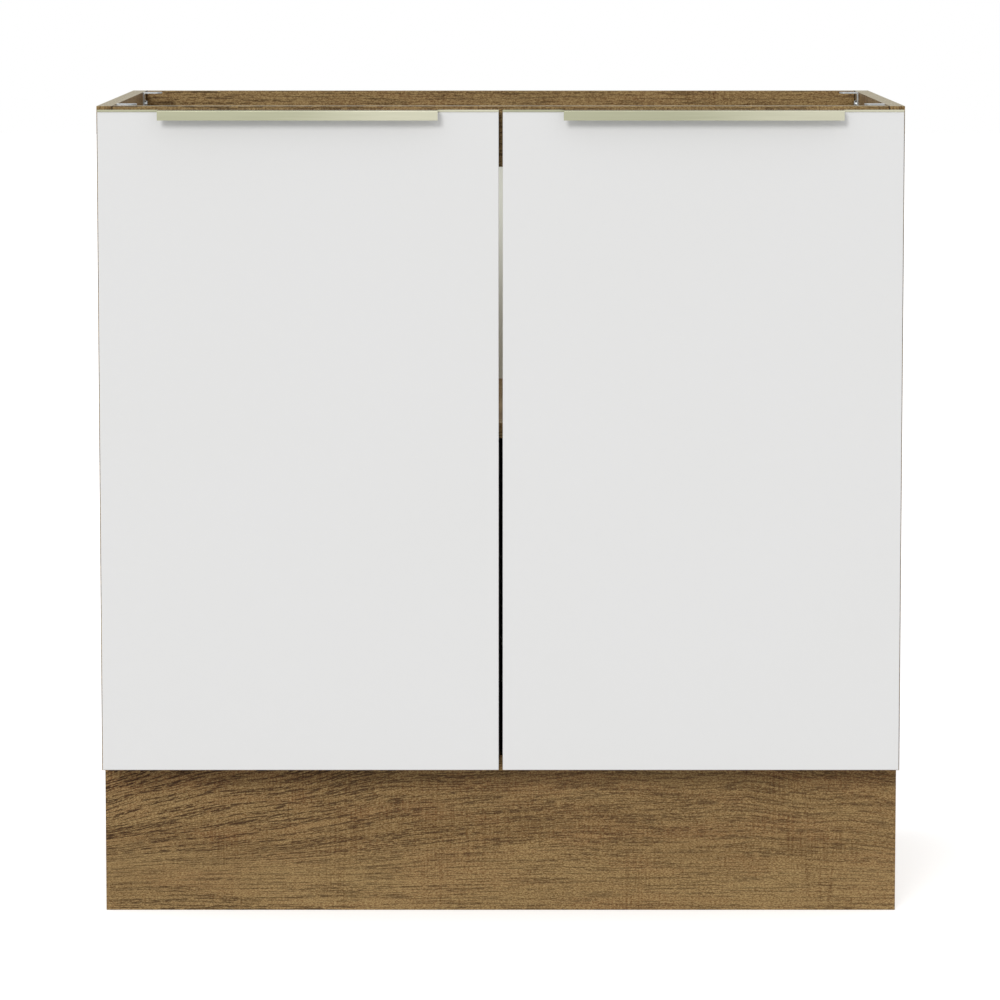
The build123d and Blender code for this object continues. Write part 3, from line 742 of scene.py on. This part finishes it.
def beech_finish(name, waves):
    """Plain beech whose flecks run along the direction with the fewest waves."""
    material, tree, spots = begin_finish(name)
    fleck = grain_noise(tree, spots["Object"], waves, detail=3.0, roughness=0.6)
    colour = mix_colours(tree, fade(tree, fleck, *FLECK_CUT), BEECH_PALE, BEECH_FLECK)
    dullness = fade(tree, fleck, *NOISE_RANGE, *BEECH_ROUGHNESS)
    end_finish(tree, colour, dullness, fleck, FLECK_RELIEF, FLECK_DEPTH)
    return material


for beech_name, (beech_look, fleck_waves) in BEECH_PIECES.items():
    dress(beech_finish(beech_look, fleck_waves), beech_name)
print("beech pieces dressed:", len(BEECH_PIECES))

# %% [markdown]
# The bumpers that quiet the closing doors are drops of clear soft plastic. Real ones are cast in a mould with
# a fine spark texture, so they look a little frosted. As full glass they would look hard, so most of the
# light passes through them and the rest is scattered.

# %% Clear bumpers
BUMPER_PALE = paint(236, 238, 236)
BUMPER_GREY = paint(226, 229, 228)
SPARK_WAVES = (1800.0, 1800.0, 1800.0)
BUMPER_ROUGHNESS = (0.2, 0.3)
BUMPER_CLEAR = 0.7
SPARK_RELIEF = 0.1
SPARK_DEPTH = 0.0001
BUMPERS = ("left_bumpers", "right_bumpers")
bumper_soft, bumper_tree, bumper_spots = begin_finish("clear_soft")
spark = grain_noise(bumper_tree, bumper_spots["Object"], SPARK_WAVES)
frosted = mix_colours(bumper_tree, spark, BUMPER_PALE, BUMPER_GREY)
bumper_shine = fade(bumper_tree, spark, *NOISE_RANGE, *BUMPER_ROUGHNESS)
set_even(bumper_tree, "Transmission Weight", BUMPER_CLEAR)
end_finish(bumper_tree, frosted, bumper_shine, spark, SPARK_RELIEF, SPARK_DEPTH)
dress(bumper_soft, *BUMPERS)
print("bumper sets dressed:", len(BUMPERS))

# %% [markdown]
# The solids leave out screws and nails, because a part library keeps those light. On the real cabinet their
# heads show wherever metal meets board. A screw head is a turned shape with a cross pressed into it. A plain
# cylinder would not read as a screw, so the head is built as rings, bridged to a cross outline, and the cross
# is sunk to a smaller one. First come the rings, the cross and the faces between two rings.

# %% Rings and crosses
HEAD_SIDES = 24


def ring_of(form, matrix, radius, height):
    """A ring of points around the head's own axis."""
    turns = [2 * pi * step / HEAD_SIDES for step in range(HEAD_SIDES)]
    return [form.verts.new(matrix @ Vector((radius * cos(t), radius * sin(t), height))) for t in turns]


def cross_of(form, matrix, arm, half, height):
    """The twelve points of a cross outline."""
    corner = [(half, half), (arm, half), (arm, -half)]
    points = []
    for quarter in range(4):
        turn = Matrix.Rotation(-pi / 2 * quarter, 2)
        points += [turn @ Vector(spot) for spot in corner]
    return [form.verts.new(matrix @ Vector((*spot, height))) for spot in reversed(points)]


def band(form, low, high):
    """Faces between two rings with the same number of points."""
    count = len(low)
    for step in range(count):
        after = (step + 1) % count
        form.faces.new((low[step], low[after], high[after], high[step]))


print("a head is turned in", HEAD_SIDES, "steps")

# %% [markdown]
# A pan head rises in four rings and closes on the cross. Its sizes could be given in millimetres, but as
# shares of the head's radius and height one profile serves every screw in the cabinet.

# %% One screw head
PAN_PROFILE = ((1.0, 0.0), (1.0, 0.35), (0.9, 0.72), (0.68, 0.95))
CROSS_ARM = 0.52
CROSS_HALF = 0.14
SUNK_ARM = 0.30
SUNK_HALF = 0.10
SUNK_HEIGHT = 0.35


def screw_head(form, matrix, radius, height):
    """A pan head with a cross recess, standing on its own XY plane."""
    rings = [ring_of(form, matrix, radius * wide, height * high) for wide, high in PAN_PROFILE]
    for low, high in zip(rings, rings[1:]):
        band(form, low, high)
    top = cross_of(form, matrix, CROSS_ARM * radius, CROSS_HALF * radius, height)
    sunk = cross_of(form, matrix, SUNK_ARM * radius, SUNK_HALF * radius, SUNK_HEIGHT * height)
    pairs = [pair for ring in (rings[-1], top) for pair in zip(ring, ring[1:] + ring[:1])]
    loops = [form.edges.get(pair) or form.edges.new(pair) for pair in pairs]
    bmesh.ops.bridge_loops(form, edges=loops)
    band(form, top, sunk)
    form.faces.new(sunk)


print("a pan head rises in", len(PAN_PROFILE), "rings")

# %% [markdown]
# A head is put in its place by a matrix that points it along the way it looks. Every screw could be an object
# of its own, but the heads of one kind that move together become one object, so the list of pieces stays
# short. That object rides on a body of the cabinet and moves with it.

# %% Heads on their bodies
def looking(direction, place):
    """A matrix that puts a head at a place in metres, pointing along a direction."""
    return Matrix.Translation(place) @ Vector(direction).to_track_quat("Z", "X").to_matrix().to_4x4()


def piece(name, body, material, form):
    """Turn a built form into an object that rides on a body."""
    bmesh.ops.recalc_face_normals(form, faces=form.faces)
    mesh = bpy.data.meshes.new(name)
    form.to_mesh(mesh)
    form.free()
    mesh.materials.append(material)
    made = bpy.data.objects.new(name, mesh)
    scene.collection.objects.link(made)
    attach(made, body)
    print(name, "faces:", len(mesh.polygons), "rides on", body)


# %% [markdown]
# Each hinge cup is held to its door by two screws through its ears. Their places are read from the boxes of
# the solids, so the heads sit on the metal they clamp, and they ride on the door, because the cup does.

# %% Cup screws
SIDES = (("left", -1), ("right", 1))
LEVELS = ("lower", "upper")
BOTH_ENDS = (-0.5, 0.5)
HINGE_HEAD = {"radius": 0.0036, "height": 0.0021}
EAR_SCREW_SPAN = 0.045
EAR_FROM_MIDDLE = 0.0095
for side_name, side in SIDES:
    cup_form = bmesh.new()
    for level in LEVELS:
        low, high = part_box(f"{side_name}_{level}_hinge_cup")
        middle = (low + high) / 2
        for end in BOTH_ENDS:
            spot = (middle.x - side * EAR_FROM_MIDDLE, high.y, middle.z + end * EAR_SCREW_SPAN)
            screw_head(cup_form, looking(REAR, spot), **HINGE_HEAD)
    piece(f"{side_name}_cup_screw_heads", f"{side_name}_door", zinc, cup_form)

# %% [markdown]
# Each hinge plate is screwed to its side panel through two holes, above and below the arm. The same heads
# are used, turned to look into the cabinet, and these stay with the carcass.

# %% Plate screws
PLATE_SCREW_SPAN = 0.032
PLATE_SCREW_FRONT = 0.007
PLATE_THICKNESS = 0.002
plate_form = bmesh.new()
for side_name, side in SIDES:
    for level in LEVELS:
        low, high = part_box(f"{side_name}_{level}_hinge_plate")
        plate_face = (high.x if side > 0 else low.x) - side * PLATE_THICKNESS
        for end in BOTH_ENDS:
            spot = (plate_face, low.y + PLATE_SCREW_FRONT, (low.z + high.z) / 2 + end * PLATE_SCREW_SPAN)
            screw_head(plate_form, looking((-side, 0, 0), spot), **HINGE_HEAD)
piece("plate_screw_heads", "carcass", zinc, plate_form)

# %% [markdown]
# Two more screws stand on the tail of each hinge arm. One moves the door sideways and one locks its depth,
# which is how a fitter lines the doors up. They are a little narrower than the others.

# %% Arm adjusters
ADJUSTER_HEAD = {"radius": 0.0031, "height": 0.0014}
ADJUSTER_FROM_END = (0.010, 0.022)
ARM_FACE_FROM_PANEL = 0.0139
arm_form = bmesh.new()
for side_name, side in SIDES:
    panel_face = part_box(f"{side_name}_side_panel")[0 if side > 0 else 1].x
    for level in LEVELS:
        low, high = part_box(f"{side_name}_{level}_hinge_arm")
        for from_end in ADJUSTER_FROM_END:
            spot = (panel_face - side * ARM_FACE_FROM_PANEL, high.y - from_end, (low.z + high.z) / 2)
            screw_head(arm_form, looking((-side, 0, 0), spot), **ADJUSTER_HEAD)
piece("arm_adjuster_heads", "carcass", zinc, arm_form)

# %% [markdown]
# Each worktop bracket is held to its side panel by one round-headed screw low on the upright leg. In the open
# top this head catches the light, so it is the highest of the screw heads.

# %% Bracket screws
BRACKET_HEAD = {"radius": 0.0038, "height": 0.0026}
BRACKET_THICKNESS = 0.0015
BRACKET_SCREW_RISE = 0.0072
bracket_form = bmesh.new()
for bracket_name in bracket_names:
    low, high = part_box(bracket_name)
    side = 1 if low.x > 0 else -1
    leg_face = (high.x if side > 0 else low.x) - side * BRACKET_THICKNESS
    spot = (leg_face, (low.y + high.y) / 2, low.z + BRACKET_SCREW_RISE)
    screw_head(bracket_form, looking((-side, 0, 0), spot), **BRACKET_HEAD)
piece("bracket_screw_heads", "carcass", zinc, bracket_form)

# %% [markdown]
# Beside the dowels, cam fittings lock the boards: one at each end of the front rail, on its hidden face, and
# four under the shelf. A cam is a cast disc with a cross slot that is turned to draw the joint tight. It
# could have its own builder, but the screw head above already has that form, so it is made wide and almost
# flat.

# %% Cam discs
CAM_HEAD = {"radius": 0.0075, "height": 0.0005}
CAM_FROM_END = 0.034
CAM_FROM_EDGE = 0.085
DOWN = (0, 0, -1)
rail_low, rail_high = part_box("front_rail")
shelf_low, shelf_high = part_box("shelf")
cam_form = bmesh.new()
for side_name, side in SIDES:
    cam_x = side * (rail_high.x - CAM_FROM_END)
    rail_spot = (cam_x, rail_high.y, (rail_low.z + rail_high.z) / 2)
    screw_head(cam_form, looking(REAR, rail_spot), **CAM_HEAD)
    for cam_y in (shelf_low.y + CAM_FROM_EDGE, shelf_high.y - CAM_FROM_EDGE):
        screw_head(cam_form, looking(DOWN, (cam_x, cam_y, shelf_low.z)), **CAM_HEAD)
piece("cam_discs", "carcass", zinc, cam_form)

# %% [markdown]
# The back sheet is nailed all round into the edges of the sides, the rear rail, the shelf and the bottom. The
# nails are driven flush, so only flat round heads show on the rear face. A head is three rings, barely higher
# than the sheet, with a worn rim. They are the reason the back does not look like one blank plate.

# %% Back nails
NAIL_RADIUS = 0.0026
NAIL_RISE = 0.00002
NAIL_RINGS = ((1.0, 0.0), (0.92, 1.0), (0.45, 0.85))
NAILS_ACROSS = (-0.31, -0.155, 0.0, 0.155, 0.31)
NAILS_UP = (0.205, 0.30, 0.395, 0.59, 0.67, 0.75)


def nail_head(form, place):
    """A flat head on the rear face of the back sheet."""
    matrix = looking(REAR, place)
    rings = [ring_of(form, matrix, NAIL_RADIUS * wide, NAIL_RISE * high) for wide, high in NAIL_RINGS]
    for low, high in zip(rings, rings[1:]):
        band(form, low, high)
    form.faces.new(rings[-1])


rear_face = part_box("back_panel")[1].y
nail_form = bmesh.new()
for board_name in ("rear_rail", "shelf", "bottom_panel"):
    low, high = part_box(board_name)
    for nail_x in NAILS_ACROSS:
        nail_head(nail_form, (nail_x, rear_face, (low.z + high.z) / 2))
for side_name, side in SIDES:
    low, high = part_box(f"{side_name}_side_panel")
    for nail_z in NAILS_UP:
        nail_head(nail_form, ((low.x + high.x) / 2, rear_face, nail_z))
piece("back_nail_heads", "carcass", zinc, nail_form)
